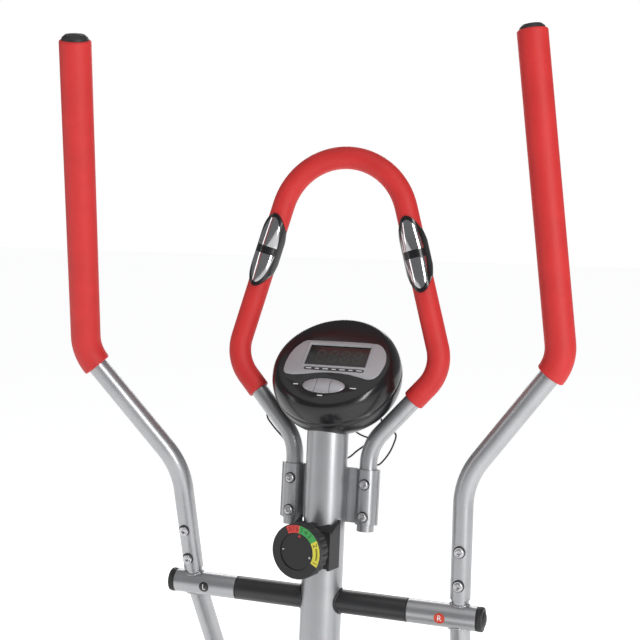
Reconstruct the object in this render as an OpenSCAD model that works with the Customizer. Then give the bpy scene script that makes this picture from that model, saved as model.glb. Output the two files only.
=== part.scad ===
// Elliptical trainer: rear crank, magnetic brake, swinging and fixed handlebars.
// Millimetres. +X is the rider's right, +Y is forward, +Z is up.
// The origin is on the floor, under the middle of the machine.

/* [Frame] */
// Half the distance between the front and rear stabilisers
stab_y = 545; // [500:5:600]
// Length of each stabiliser tube
stab_len = 500; // [440:10:560]
// Outside diameter of the stabiliser tubes
stab_d = 50; // [45:1:50]
// Height of the stabiliser tube's centre above the floor
stab_z = 37; // [34:1:40]
// Width and height of the square main beam
beam_w = 50; // [45:1:55]
// Distance of the arm axle ahead of the machine's middle
axle_y = 245; // [235:1:255]
// Height of the arm axle above the floor
axle_z = 800; // [780:5:820]
// Outside diameter of the upright post
post_d = 60; // [58:1:60]
// Forward lean of the upright post in degrees
post_lean = 6.4; // [5:0.1:8]

/* [Fixed handlebar] */
// Tube diameter of the fixed handlebar
bar_d = 25.4; // [24:0.1:27]
// Half the distance between the two straight lower ends
bar_x = 57; // [55:1:60]
// Forward lean of the handlebar's plane in degrees
bar_lean = 8; // [7:0.1:9]
// Radius of the loop at the top
loop_r = 98; // [90:1:102]
// Outside diameter of the foam grip
bar_foam_d = 33; // [32:1:38]

/* [Swinging arms] */
// Distance of each arm from the middle
arm_x = 204; // [202:1:207]
// Tube diameter of the swinging arms
arm_d = 29; // [28:1:32]
// Outside diameter of the foam grips
grip_d = 42; // [40:1:48]
// Swing of the left arm at rest in degrees, lower end forward
left_swing = 13.8; // [12:0.1:15]
// Swing of the right arm at rest in degrees, lower end forward
right_swing = -3.2; // [-4:0.1:-2]
// Bend of the lower arm forward from the upper arm in degrees
arm_kink = 14.8; // [14:0.1:16]
// Length of the lower arm
lower_len = 600; // [590:1:610]

/* [Drive] */
// Crank throw
crank_r = 120; // [110:1:125]
// Distance of the crank behind the arm axle
crank_back = 640; // [630:1:650]
// Height of the crank centre above the floor
crank_z = 235; // [235:1:240]
// Outside diameter of the flywheel
flywheel_d = 200; // [180:2:200]
// Radius of the crank pulley
pulley_r = 128; // [110:1:128]

/* [Console] */
// Tilt of the console's face from level in degrees
face_tilt = 37; // [30:1:42]
// Radius of the console's round housing
pod_r = 96; // [92:1:98]

/* [Hidden] */
$fn = 48;

fit = 0.05;          // radial running clearance of shafts in bushes
hairline = 0.01;
shank = 7.6;          // bolt shanks, in holes of 8
gap = 0.5;           // clear space between pieces that pass each other
beam_lo = 50;        // underside of the main beam
beam_hi = beam_lo + beam_w;
wall = 2.5;          // tube wall
saddle_top = 69;     // top of the saddles over the stabilisers
stab_bolt_x = 34;
post_bolts = [-630, -580];

// Arm frame: origin on the axle, the handle above it and the lower arm below it
arm_wall = 2;
arm_y = 6;           // the arm tube is welded a little ahead of its pivot sleeve's axis
sleeve_d = 34;
sleeve_in = 132;     // inner end of the pivot sleeve
sleeve_out = 230;    // outer end of the pivot sleeve
axle_d = 20;
bush_d = 26;
handle_lo = 24;      // lower end of the handle tube
handle_bend = [arm_x, 193];
handle_knee = [332, 367];
handle_top = [276, 808];
handle_bolts_z = [46, 94];
hub_len = 46;        // length of the lower arm's hub along X
hub_d = 40;
hub_x = arm_x - 22;  // inner face of that hub

axle_end = 232.5;

// Stabiliser ends and transport wheels
cap_d = 56;
wheel_d = 30;
wheel_y = 12;
wheel_z = 19;
wheel_pin = 8;

// The linkage in the side plane: arm ends F, crank centre C, crank pins P
arm_end = [arm_y + lower_len * sin(arm_kink), -lower_len * cos(arm_kink)];
function swung(p, a) = [p[0] * cos(a) - p[1] * sin(a), p[1] * cos(a) + p[0] * sin(a)];
axle_c = [axle_y, axle_z];
end_left = axle_c + swung(arm_end, left_swing);
end_right = axle_c + swung(arm_end, right_swing);
crank_c = [axle_y - crank_back, crank_z];
end_mid = (end_left + end_right) / 2 - crank_c;
end_half = (end_left - end_right) / 2;
// The crank angle at which both pedal bars come out the same length
crank_angle = atan2(end_mid[1], end_mid[0]) + acos(end_mid * end_half / (crank_r * norm(end_mid)));
throw = crank_r * [cos(crank_angle), sin(crank_angle)];
pin_left = crank_c + throw;
pin_right = crank_c - throw;
bar_len = norm(end_left - pin_left);
tilt_left = atan2(end_left[1] - pin_left[1], end_left[0] - pin_left[0]);
tilt_right = atan2(end_right[1] - pin_right[1], end_right[0] - pin_right[0]);

// Drive
fly_c = [crank_c[0] + 205, 215];
fly_pulley_r = 20;
pulley_x = [18, 32];
disc_x = [-30, -8];
fly_axle_d = 12;
crank_in = 72;       // inner face of the crank arm
crank_t = 16;
crank_out = crank_in + crank_t;
pin_d = 16;
bar_mid = 150;       // centre of the pedal bar
bar_w = 30;
bar_h = 50;
cover_x = 60;        // outer face of each cover
cover_wall = 3;
pedal_size = [128, 370];
cover_screws_at = [for (a = [110, 180, 250]) crank_c + 138 * [cos(a), sin(a)],
    for (a = [60, 0, -50]) fly_c + 120 * [cos(a), sin(a)]];

// Fixed handlebar in its own plane: x across, second value up the plane
bar_y = 15;          // distance of the plane ahead of the axle
bar_lo = 100;
bar_wall = 1.8;
bar_bend = [bar_x, 224];
bar_knee = [160, 340];
loop_tip = [0, 903]; // where the straight sides would meet
clamp_z = [110, 190];
clamp_bolts_z = [122, 169];

grip_at = 0.29;      // how far up the straight side the pulse grips sit
grip_r = 20.2;       // the grips wrap round the foam
grip_size = [21.2, 56];
plate_size = [15.8, 50];

// Console frame: origin in the middle of the pod, Z out of its face, Y up its face
pod_c = [1.5, axle_y + 64, axle_z + 318.5];
face_z = 33;
lcd_c = [5, 8.5];
lcd_size = [91, 39];
key_c = [-1, -50];
key_size = [32, 14.3];

post_top = 258;
post_hole = [16, 284, 1000];   // where the sensor lead leaves the post

// Tension knob frame: origin on the post's axis, Z out of the knob's face
knob_turn = 9;       // the housing is clamped a little to the rider's left
knob_h = 83;
knob_face = 82;
knob_d = 78;

steel = [0.62, 0.63, 0.65];
black = [0.09, 0.09, 0.1];
red = [0.83, 0.16, 0.13];

// ---------- frames ----------
module at_axle() translate([0, axle_y, axle_z]) children();
module on_post() at_axle() rotate([-post_lean, 0, 0]) children();
module on_bar() at_axle() translate([0, bar_y, 0]) rotate([-bar_lean, 0, 0]) children();
module on_pod() translate(pod_c) rotate([face_tilt, 0, 0]) children();
module on_knob() on_post() translate([0, 0, knob_h]) rotate([0, 0, -knob_turn]) rotate([90, 0, 0]) children();
module on_side(side) if (side < 0) mirror([1, 0, 0]) children(); else children();
module on_arm(side) on_side(side) at_axle()
    rotate([side < 0 ? left_swing : right_swing, 0, 0]) children();
module at_pin(side) {
    p = side < 0 ? pin_left : pin_right;
    on_side(side) translate([0, p[0], p[1]]) children();
}
module on_pedal_bar(side) at_pin(side) rotate([side < 0 ? tilt_left : tilt_right, 0, 0]) children();

// ---------- shared shapes ----------
// A rod along X between two places
module rod_x(x0, x1, d) translate([x0, 0, 0]) rotate([0, 90, 0]) cylinder(h = x1 - x0, d = d);
module rod_y(y0, y1, d) translate([0, y1, 0]) rotate([90, 0, 0]) cylinder(h = y1 - y0, d = d);
// A tube in the XZ plane, of outside diameter d and bore b: straight pieces and bends.
// Each straight piece stops a hairline short of the bends it runs into.
module straight(from, to, d, b) {
    v = to - from;
    translate([from[0], 0, from[1]]) rotate([0, atan2(v[0], v[1]), 0]) difference() {
        translate([0, 0, hairline]) cylinder(h = norm(v) - 2 * hairline, d = d);
        translate([0, 0, -1]) cylinder(h = norm(v) + 2, d = b);
    }
}
function unit(v) = v / norm(v);
function turn(p, q, r) = acos(unit(q - p) * unit(r - q));
// How far from the corner q a bend of that radius starts
function reach(p, q, r, radius) = radius * tan(turn(p, q, r) / 2);
module bend(p, q, r, radius, d, b) {
    u = unit(q - p);
    w = unit(r - q);
    left = sign(u[0] * w[1] - u[1] * w[0]);
    n = [-u[1], u[0]] * left;
    o = q - u * reach(p, q, r, radius) + n * radius;
    a = atan2(-n[1], -n[0]);
    angle = turn(p, q, r);
    translate([o[0], 0, o[1]]) rotate([90, 0, 0]) rotate([0, 0, left > 0 ? a : a - angle])
        rotate_extrude(angle = angle) translate([radius, 0]) difference() {
            circle(d = d);
            circle(d = b);
        }
}
// The pedal-and-flywheel outline, grown or shrunk by a margin
module drive_outline(r1, r2) {
    v = fly_c - crank_c;
    along = atan2(v[1], v[0]);
    dip = asin((r1 - r2) / norm(v));
    n1 = [cos(along + 90 - dip), sin(along + 90 - dip)];
    n2 = [cos(along - 90 + dip), sin(along - 90 + dip)];
    translate(crank_c) circle(r = r1, $fn = 96);
    translate(fly_c) circle(r = r2, $fn = 96);
    polygon([crank_c + n1 * r1, crank_c + n2 * r1, fly_c + n2 * r2, fly_c + n1 * r2]);
}
module along_x(x0, x1) translate([x0, 0, 0]) rotate([90, 0, 90]) linear_extrude(x1 - x0) children();
// A round-headed socket screw: its head's face looks along -Y
module screw_head(head) rotate([90, 0, 0]) difference() {
    cylinder(h = head * 0.32, d = head);
    translate([0, 0, head * 0.12]) cylinder(h = head, d = head * 0.42, $fn = 6);
}
module button_bolt(len, d, head) {
    screw_head(head);
    translate([0, len, 0]) rotate([90, 0, 0]) cylinder(h = len, d = d);
    translate([0, len - 1, 0]) rotate([90, 0, 0]) cylinder(h = 5, d = d * 1.7, $fn = 6);
}
// A tube swept along points, each ring square to the path
function ring(p, q, r, n) = let (
        t = unit(q),
        side = unit(cross(t, abs(t[0]) > 0.9 ? [0, 1, 0] : [1, 0, 0])),
        other = cross(t, side))
    [for (i = [0:n - 1]) p + r * (cos(360 * i / n) * side + sin(360 * i / n) * other)];
function spline(p, i, t) = let (
        a = p[max(i - 1, 0)], b = p[i], c = p[i + 1], d = p[min(i + 2, len(p) - 1)])
    0.5 * (2 * b + (c - a) * t + (2 * a - 5 * b + 4 * c - d) * t * t
        + (3 * b - a - 3 * c + d) * t * t * t);
function smooth(p, steps) = concat(
    [for (i = [0:len(p) - 2]) for (k = [0:steps - 1]) spline(p, i, k / steps)], [p[len(p) - 1]]);
module cord(route, d, steps) {
    pts = smooth(route, steps);
    m = len(pts);
    n = 8;
    rings = [for (i = [0:m - 1])
        each ring(pts[i], pts[min(i + 1, m - 1)] - pts[max(i - 1, 0)], d / 2, n)];
    sides = [for (i = [0:m - 2]) for (j = [0:n - 1]) let (k = (j + 1) % n)
        each [[i * n + j, i * n + k, i * n + n + k], [i * n + j, i * n + n + k, i * n + n + j]]];
    polyhedron(rings, concat(sides, [[for (j = [n - 1:-1:0]) j]], [[for (j = [0:n - 1]) (m - 1) * n + j]]));
}

// ---------- frame ----------
module main_frame() color(steel) {
    post_foot = axle_y - (axle_z - beam_hi) * tan(post_lean);
    difference() {
        union() {
            translate([-beam_w / 2, -stab_y, beam_lo]) cube([beam_w, 2 * stab_y, beam_w]);
            // stub that the post slides over
            on_post() translate([0, 0, -axle_z / cos(post_lean) + 70]) cylinder(h = 190, d = post_d - 2 * wall - 0.2);
            // seat for the crank bearings
            translate([-20, crank_c[0] - 20, beam_hi - 1]) cube([32, 40, crank_z - beam_hi - 20]);
            translate([0, crank_c[0], crank_z]) rod_x(-42, 14, 52);
            // ears for the flywheel axle
            translate([-46, fly_c[0] - 30, beam_hi - 1]) cube([92, 60, 5]);
            for (x = [-46, 42]) translate([x, fly_c[0] - 25, beam_hi]) cube([4, 50, fly_c[1] - beam_hi + 22]);
            // arm that carries the magnet bracket
            translate([-46, fly_c[0] - 52, fly_c[1]]) cube([4, 40, 122]);
            for (y = [-1, 1]) translate([0, y * stab_y, 0])
                translate([-beam_w / 2 - 18, -25, stab_z + 6]) cube([beam_w + 36, 50, saddle_top - stab_z - 6]);
        }
        for (y = [-1, 1]) translate([0, y * stab_y, stab_z]) rod_x(-60, 60, stab_d + 0.6);
        translate([0, crank_c[0], crank_z]) {
            rod_x(-43, -30, 42);
            rod_x(2, 15, 42);
            rod_x(-43, 15, 34);
        }
        translate([0, fly_c[0], fly_c[1]]) rod_x(-60, 60, fly_axle_d);
        translate([0, fly_c[0] - 40, fly_c[1] + 108]) rod_x(-60, 60, 8.4);
        // hollow beam
        translate([-beam_w / 2 + 3, -stab_y + 60, beam_lo + 3]) cube([beam_w - 6, 2 * stab_y - 120, beam_w - 6]);
        // hollow stub and the way in for the tension cable
        on_post() translate([0, 0, -axle_z / cos(post_lean) + 60]) cylinder(h = 220, d = post_d - 4 * wall);
        translate([0, fly_c[0] - 75, beam_lo + 20]) cylinder(h = 60, d = 12);
        for (x = [-1, 1]) for (y = [-stab_y, stab_y]) translate([x * stab_bolt_x, y, 0]) cylinder(h = 120, d = 8.4);
        for (h = post_bolts) on_post() translate([0, 0, h]) rod_y(-40, 0, 8);
    }
}
module stabilizer_tube() color(black) difference() {
    translate([0, 0, stab_z]) rod_x(-stab_len / 2, stab_len / 2, stab_d);
    translate([0, 0, stab_z]) rod_x(-stab_len, stab_len, stab_d - 2 * wall);
    for (x = [-1, 1]) translate([x * stab_bolt_x, 0, 0]) cylinder(h = 120, d = 8.4);
}
module front_stabilizer() translate([0, stab_y, 0]) stabilizer_tube();
module rear_stabilizer() translate([0, -stab_y, 0]) stabilizer_tube();
// Plastic end plug with a foot; the front ones also hold a transport wheel
module stabilizer_cap(wheel) difference() {
    union() {
        translate([stab_len / 2 - 30, 0, stab_z]) rod_x(0, 60, cap_d);
        translate([stab_len / 2 - 16, -26, 0]) cube([46, wheel ? 22 : 48, stab_z]);
        if (wheel) translate([stab_len / 2 - 4, -5, 6]) cube([34, 31, stab_z - 6]);
    }
    translate([stab_len / 2 - 31, 0, stab_z]) rod_x(0, 31.5, stab_d);
    if (wheel) difference() {
        translate([stab_len / 2 + 2, wheel_y, wheel_z]) rod_x(0, 20, wheel_d + 3);
        translate([stab_len / 2 + 1, wheel_y, wheel_z]) rod_x(0, 30, wheel_pin);
    }
}
module stabilizer_caps() color(black) for (s = [-1, 1]) {
    translate([0, stab_y, 0]) on_side(s) stabilizer_cap(true);
    translate([0, -stab_y, 0]) on_side(s) stabilizer_cap(false);
}
module transport_wheel(s) color(black) translate([0, stab_y, 0]) on_side(s)
    translate([stab_len / 2 + 3, wheel_y, wheel_z]) difference() {
        rod_x(0, 18, wheel_d);
        rod_x(-1, 19, wheel_pin + 2 * fit);
    }
// Carriage bolts of the stabilisers, screws of the post, clamps and covers
module frame_fasteners() color(steel) {
    for (x = [-1, 1]) for (y = [-stab_y, stab_y]) translate([x * stab_bolt_x, y, 0]) {
        translate([0, 0, stab_z - stab_d / 2 - 4]) cylinder(h = saddle_top - stab_z + stab_d / 2 + 15, d = 8);
        translate([0, 0, stab_z - stab_d / 2 - 4]) cylinder(h = 4, d = 18);
        translate([0, 0, saddle_top]) cylinder(h = 7, d = 15, $fn = 6);
    }
    for (h = post_bolts) on_post() translate([0, -post_d / 2, h]) button_bolt(2 * wall + 7.6, shank, 15);
    for (s = [-1, 1]) for (h = clamp_bolts_z) on_bar() on_side(s)
        translate([bar_x, -bar_d / 2 - 3, h]) button_bolt(bar_d + 12, shank, 13);
    translate([0, brake_pin[0], brake_pin[1]]) {
        rod_x(-48, -4, 8);
        rod_x(-51, -48, 14);
    }
    for (s = [-1, 1]) for (p = cover_screws_at) on_side(s)
        translate([cover_x, p[0], p[1]]) rotate([0, 0, 90]) screw_head(8);
}
module half_tube(r1, r2, h) difference() {
    cylinder(h = h, r = r2);
    translate([0, 0, -1]) cylinder(h = h + 2, r = r1);
}
module clamp_half(front) {
    h = clamp_z[1] - clamp_z[0];
    r = bar_d / 2;
    difference() {
        intersection() {
            union() {
                half_tube(r, r + 3, h);
                translate([r, front ? -3.3 : 0.3, 0]) cube([5, 3, h]);
            }
            translate([-40, front ? -40.3 : 0.3, -1]) cube([80, 40, h + 2]);
        }
        for (z = clamp_bolts_z) translate([0, 0, z - clamp_z[0]]) rod_y(-30, 30, 8);
    }
}
module upright_post() color(steel) {
    foot = -axle_z / cos(post_lean) + beam_hi + 16;
    difference() {
        union() {
            on_post() translate([0, 0, foot]) cylinder(h = post_top - foot, d = post_d);
            for (s = [-1, 1]) on_bar() on_side(s) translate([0, 0, clamp_z[0]]) {
                translate([bar_x, 0, 0]) clamp_half(false);
                translate([20, 1, 0]) cube([bar_x - 20 - bar_d / 2 - 1, 4, clamp_z[1] - clamp_z[0]]);
            }
        }
        on_post() translate([0, 0, foot - 1]) cylinder(h = post_top - foot - 2, d = post_d - 2 * wall);
        at_axle() rod_x(-60, 60, axle_d);
        for (h = post_bolts) on_post() translate([0, 0, h]) rod_y(-40, 0, 8);
        translate([0, axle_y - 30, axle_z + 71]) rod_y(0, 20, 8);
        translate([post_hole[0], post_hole[1], post_hole[2]]) rotate([0, 0, -35]) rod_y(-8, 8, 6);
    }
}
module cross_axle() color(steel) at_axle() {
    rod_x(-axle_end, axle_end, axle_d);
    rod_x(-axle_end - 8.9, axle_end + 8.9, 10);
}
module axle_sleeves() color(black) for (s = [-1, 1]) on_side(s) difference() {
    at_axle() difference() {
        rod_x(10, sleeve_in - 2.5, sleeve_d);
        rod_x(0, sleeve_in, axle_d);
    }
    on_post() translate([0, 0, -60]) cylinder(h = 120, d = post_d);
}
module axle_end_caps() color(black) for (s = [-1, 1]) on_side(s) at_axle()
    translate([axle_end, 0, 0]) rotate([0, 90, 0]) rotate_extrude()
        polygon(concat([[5, 9], [5, 0], [17.2, 0], [17.5, 3], [16.8, 3.8], [17.5, 4.6], [16.6, 7], [12, 7]],
            [for (a = [20:10:80]) [12 * cos(a), 6 + 5 * sin(a)]], [[0, 11], [0, 9]]));

// ---------- fixed handlebar ----------
knee_r = 60;
foot_r = 70;
foot_reach = reach([bar_x, bar_lo], bar_bend, bar_knee, foot_r);
knee_reach = reach(bar_bend, bar_knee, loop_tip, knee_r);
tip_reach = reach(bar_knee, loop_tip, [-bar_knee[0], bar_knee[1]], loop_r);
splay = unit(bar_knee - bar_bend);
rise = unit(loop_tip - bar_knee);
foam_lo = bar_knee - splay * 62;
// From a place below the knee over the top to the other side
module loop_path(from, d, b) {
    for (s = [0, 180]) rotate([0, 0, s]) {
        straight(from, bar_knee - splay * knee_reach, d, b);
        bend(bar_bend, bar_knee, loop_tip, knee_r, d, b);
        straight(bar_knee + rise * knee_reach, loop_tip - rise * tip_reach, d, b);
    }
    bend(bar_knee, loop_tip, [-bar_knee[0], bar_knee[1]], loop_r, d, b);
}
module fixed_handlebar() color(steel) on_bar() {
    bore = bar_d - 2 * bar_wall;
    loop_path(bar_bend + splay * foot_reach, bar_d, bore);
    for (s = [0, 180]) rotate([0, 0, s]) {
        bend([bar_x, bar_lo], bar_bend, bar_knee, foot_r, bar_d, bore);
        difference() {
            straight([bar_x, bar_lo], bar_bend - [0, foot_reach], bar_d, bore);
            for (z = clamp_bolts_z) translate([bar_x, 0, z]) rod_y(-20, 20, 8);
        }
    }
}
module handlebar_foam() color(red) on_bar() loop_path(foam_lo, bar_foam_d, bar_d);
module handlebar_clamps() color(steel) for (s = [-1, 1]) on_bar() on_side(s)
    translate([bar_x, 0, clamp_z[0]]) clamp_half(true);
// Pulse grips on the straight sides: a long oval wrapped over the rider's side of the foam
module on_grip(s) on_bar() on_side(s)
    translate([bar_knee[0], 0, bar_knee[1]] + [loop_tip[0] - bar_knee[0], 0, loop_tip[1] - bar_knee[1]] * grip_at)
        rotate([0, atan2(loop_tip[0] - bar_knee[0], loop_tip[1] - bar_knee[1]), 0])
            rotate([90, 0, 0]) children();
module grip_round(r) translate([0, -100, 0]) rotate([-90, 0, 0]) cylinder(h = 200, r = r);
module grip_oval(size) linear_extrude(60) scale(size) circle(r = 1, $fn = 90);
module pulse_housings() color(black) for (s = [-1, 1]) on_grip(s) difference() {
    intersection() {
        grip_round(grip_r);
        grip_oval(grip_size);
    }
    grip_round(bar_foam_d / 2);
}
module pulse_plates() color([0.8, 0.8, 0.82]) for (s = [-1, 1]) on_grip(s) for (t = [-1, 1]) intersection() {
    grip_oval(plate_size);
    translate([-40, t > 0 ? 5.8 : -85.8, 0]) cube([80, 80, 60]);
    difference() {
        grip_round(grip_r + 0.5);
        grip_round(grip_r);
    }
}

// ---------- console ----------
front_profile = [[0, face_z], [pod_r - 20, face_z], [pod_r - 13, 31], [pod_r - 7, 26],
    [pod_r - 3, 18], [pod_r - 0.6, 9], [pod_r, 0]];
rear_profile = [[pod_r, 0], [pod_r - 0.6, -10], [pod_r - 4, -24], [pod_r - 11, -36],
    [pod_r - 25, -46], [pod_r - 48, -52], [0, -54]];
function inset(p, t) = [for (q = p) [max(0, q[0] - (q[0] > 0 ? t : 0)), q[1] - sign(q[1]) * t]];
module pod_shell(profile) difference() {
    rotate_extrude($fn = 144) polygon(concat(profile, [[0, 0]]));
    rotate_extrude($fn = 144) polygon(concat(inset(profile, 2.5), [[0, 0]]));
}
module oval(grow) scale([key_size[0] + grow, key_size[1] + grow]) circle(r = 1, $fn = 90);
module console_front_shell() color(black) on_pod() difference() {
    translate([0, 0, 0.05]) pod_shell(front_profile);
    translate([lcd_c[0] - lcd_size[0] / 2, lcd_c[1] - lcd_size[1] / 2, 20]) cube([lcd_size[0], lcd_size[1], 20]);
    translate([key_c[0], key_c[1], 20]) linear_extrude(20) oval(0.6);
}
module console_rear_shell() color(black) difference() {
    union() {
        on_pod() translate([0, 0, -0.05]) pod_shell(rear_profile);
        // socket that sits on the end of the post
        on_post() translate([0, 0, post_top - 18]) cylinder(h = 22, d = post_d + 7);
    }
    on_post() translate([0, 0, 150]) cylinder(h = post_top - 150, d = post_d + 0.4);
    for (x = [-12, 12]) on_post() translate([x, 0, post_top - 20]) cylinder(h = 40, d = 4);
}
// Silver trim plate: straight top, bowed sides, waved lower edge
fascia_edge = concat(
    [[-46, 36], [56, 36], [66, 32], [75, 20], [76, 2], [74, -14], [69, -26], [60, -33], [50, -32]],
    [for (x = [38:-8:-42]) [x, -25 - 3.2 * (abs(x + 4) / 30) ^ 2]],
    [[-52, -32], [-62, -30], [-66, -24], [-66, -8], [-62, 10], [-55, 26]]);
module console_fascia() color([0.68, 0.68, 0.7]) on_pod() translate([0, 0, face_z + 0.1]) difference() {
    linear_extrude(1.4) polygon(fascia_edge);
    translate([lcd_c[0] - lcd_size[0] / 2, lcd_c[1] - lcd_size[1] / 2, -1]) cube([lcd_size[0], lcd_size[1], 5]);
}
module lcd_window() color([0.15, 0.17, 0.15]) on_pod()
    translate([lcd_c[0] - lcd_size[0] / 2, lcd_c[1] - lcd_size[1] / 2, face_z - 2.5])
        cube([lcd_size[0], lcd_size[1], 1.5]);
module display_board() color([0.1, 0.35, 0.2]) on_pod() {
    translate([lcd_c[0] - 52, -68, 12]) cube([104, 100, 1.6]);
    translate([lcd_c[0] - 42, lcd_c[1] - 17, 13.6]) cube([84, 34, 13]);
    for (x = [-20, 0, 20]) translate([key_c[0] + x, key_c[1], 13.6]) cylinder(h = 8, d = 6);
}
module key_zone(i) {
    d = 120;
    if (i == 0) difference() {
        square([22, 60], center = true);
        for (x = [-1, 1]) translate([x * (d / 2 + 10), 0]) circle(d = d);
    } else intersection() {
        translate([i * 40, 0]) square([80, 60], center = true);
        translate([i * (d / 2 + 10.6), 0]) circle(d = d, $fn = 96);
    }
}
module key(i) color([0.7, 0.7, 0.72]) on_pod() translate([key_c[0], key_c[1], face_z - 8])
    linear_extrude(11) intersection() {
        oval(0);
        key_zone(i);
    }
module key_left() key(-1);
module key_middle() key(0);
module key_right() key(1);

// ---------- tension knob ----------
module knob_housing() color(black) on_knob() difference() {
    union() {
        for (x = [-33, 29]) translate([x, -30, 13]) cube([4, 68, 31]);
        translate([-33, -28, 24]) cube([66, 61, 20]);
        translate([0, 0, 40]) cylinder(h = 19, d = 62);
        translate([0, 0, 50]) cylinder(h = 20, d = 8);
    }
    rotate([90, 0, 0]) translate([0, 0, -60]) cylinder(h = 120, d = post_d + 0.5);
    translate([0, -10, 20]) cube([12, 30, 60], center = true);
    for (x = [-1, 1]) translate([x * 20, 42, 36]) rotate([30, 0, 0]) cube([30, 30, 30], center = true);
}
module tension_knob() color(black) on_knob() difference() {
    union() {
        translate([0, 0, 60.5]) cylinder(h = knob_face - 62.5, d = knob_d);
        translate([0, 0, knob_face - 2]) cylinder(h = 2, r1 = knob_d / 2, r2 = knob_d / 2 - 1.5);
    }
    translate([0, 0, 66]) cylinder(h = 40, d = 52);
    translate([0, 0, 50]) cylinder(h = 40, d = 8 + 2 * fit);
    for (a = [0:15:345]) rotate([0, 0, a]) translate([knob_d / 2 + 2.2, 0, 50]) cylinder(h = 26, d = 7);
}
module knob_pointer() color(black) on_knob() translate([0, 0, 70]) cylinder(h = knob_face - 72, d = 51);

// ---------- cables ----------
cable_route = [[0, 208, 872], [0, 222, 870], [0, 240, 858], [0, 256, 840], [0, 263, 815], [0, 263, 785],
    [0, 256, 740], [0, 240, 640], [0, 210, 450], [0, 185, 260], [0, 172, 150], [0, 168, 110],
    [0, 158, 85], [0, 130, 74], [0, 60, 72], [0, -120, 72], [0, -220, 73], [0, -252, 80],
    [0, -264, 100], [0, -266, 140]];
sensor_route = [[16, 284, 1000], [25, 295, 1001], [34, 305, 1009], [44, 311, 1017],
    [57, 321, 1030], [65, 325, 1050], [60, 327, 1063], [54, 326, 1076]];
pulse_right_route = [[60, 288, 996], [64, 296, 993], [70, 303, 993], [81, 307, 1007], [88, 310, 1022],
    [90, 315, 1036], [76, 323, 1039], [60, 325, 1030], [46, 323, 1026], [28, 319, 1034], [18, 312, 1050]];
pulse_left_route = [[-62, 288, 1004], [-70, 296, 1008], [-81, 302, 1020], [-93, 307, 1029],
    [-104, 312, 1038], [-113, 318, 1047], [-113, 324, 1060], [-98, 328, 1069], [-76, 326, 1069]];
module tension_cable() color(black) cord(cable_route, 4, 1);
module sensor_lead() color(black) cord(sensor_route, 2.6, 3);
module pulse_lead_left() color(black) cord(pulse_left_route, 2.6, 3);
module pulse_lead_right() color(black) cord(pulse_right_route, 2.6, 3);

// ---------- swinging arms ----------
bend_r = 110;
elbow_r = 60;
grip_below = 26;      // the grip starts this far below the elbow's corner
lean_out = unit(handle_knee - handle_bend);
lean_in = unit(handle_top - handle_knee);
bend_reach = reach([arm_x, handle_lo], handle_bend, handle_knee, bend_r);
elbow_reach = reach(handle_bend, handle_knee, handle_top, elbow_r);
// From a place below the elbow to the top
module grip_path(from, d, b) {
    straight(from, handle_knee - lean_out * elbow_reach, d, b);
    bend(handle_bend, handle_knee, handle_top, elbow_r, d, b);
    straight(handle_knee + lean_in * elbow_reach, handle_top, d, b);
}
module on_handle(side) on_arm(side) translate([0, arm_y, 0]) children();
module lower_arm(side) color(steel) on_arm(side) difference() {
    union() {
        rod_x(sleeve_in, sleeve_out, sleeve_d);
        translate([arm_x, arm_y, 0]) cylinder(h = 118, d = arm_d - 4);
        translate([arm_x, arm_y, 0]) rotate([arm_kink, 0, 0]) translate([0, 0, -lower_len])
            cylinder(h = lower_len, d = arm_d);
        translate([0, arm_end[0], arm_end[1]]) rod_x(hub_x, hub_x + hub_len, hub_d);
    }
    rod_x(sleeve_in - 1, sleeve_out + 1, bush_d);
    translate([arm_x, arm_y, 30]) cylinder(h = 100, d = arm_d - 8);
    translate([arm_x, arm_y, 0]) rotate([arm_kink, 0, 0]) translate([0, 0, -lower_len + 20])
        cylinder(h = lower_len - 44, d = arm_d - 4);
    for (z = handle_bolts_z) translate([arm_x, arm_y, z]) rod_y(-30, 30, 8);
    translate([0, arm_end[0], arm_end[1]]) rod_x(hub_x - 1, hub_x + hub_len + 1, 12);
}
module handle_tube(side) color(steel) on_handle(side) {
    bore = arm_d - 2 * arm_wall;
    difference() {
        straight([arm_x, handle_lo], handle_bend - [0, bend_reach], arm_d, bore);
        for (z = handle_bolts_z) translate([arm_x, 0, z]) rod_y(-30, 30, 8);
    }
    bend([arm_x, handle_lo], handle_bend, handle_knee, bend_r, arm_d, bore);
    grip_path(handle_bend + lean_out * bend_reach, arm_d, bore);
}
module handle_foam(side) color(red) on_handle(side)
    grip_path(handle_knee - lean_out * grip_below, grip_d, arm_d);
module handle_cap(side) color(black) on_handle(side)
    translate([handle_top[0], 0, handle_top[1]])
        rotate([0, atan2(handle_top[0] - handle_knee[0], handle_top[1] - handle_knee[1]), 0])
            rotate_extrude() polygon([[0, -20], [arm_d / 2 - 2, -20], [arm_d / 2 - 2, 0],
                [grip_d / 2 - 3, 0], [grip_d / 2 - 4, 3], [13, 6.5], [0, 8]]);
module arm_bolts(side) color(steel) on_arm(side) {
    for (z = handle_bolts_z) translate([arm_x, arm_y - arm_d / 2, z]) button_bolt(arm_d + 6, shank, 14);
    translate([0, arm_end[0], arm_end[1]]) {
        rod_x(hub_x, hub_x + hub_len + 2, 11.8);
        rod_x(hub_x + hub_len, hub_x + hub_len + 3, 30);
        translate([hub_x + hub_len + 3, 0, 0]) rotate([0, 90, 0]) cylinder(h = 8, d = 21, $fn = 6);
    }
}
module arm_bushings(side) color(black) on_arm(side)
    for (x = [[sleeve_in, sleeve_in + 24, sleeve_in - 2, sleeve_in],
              [sleeve_out - 24, sleeve_out, sleeve_out, sleeve_out + 2]]) difference() {
        union() {
            rod_x(x[0], x[1], bush_d);
            rod_x(x[2], x[3], sleeve_d);
        }
        rod_x(x[0] - 30, x[1] + 30, axle_d + 2 * fit);
    }

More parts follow.
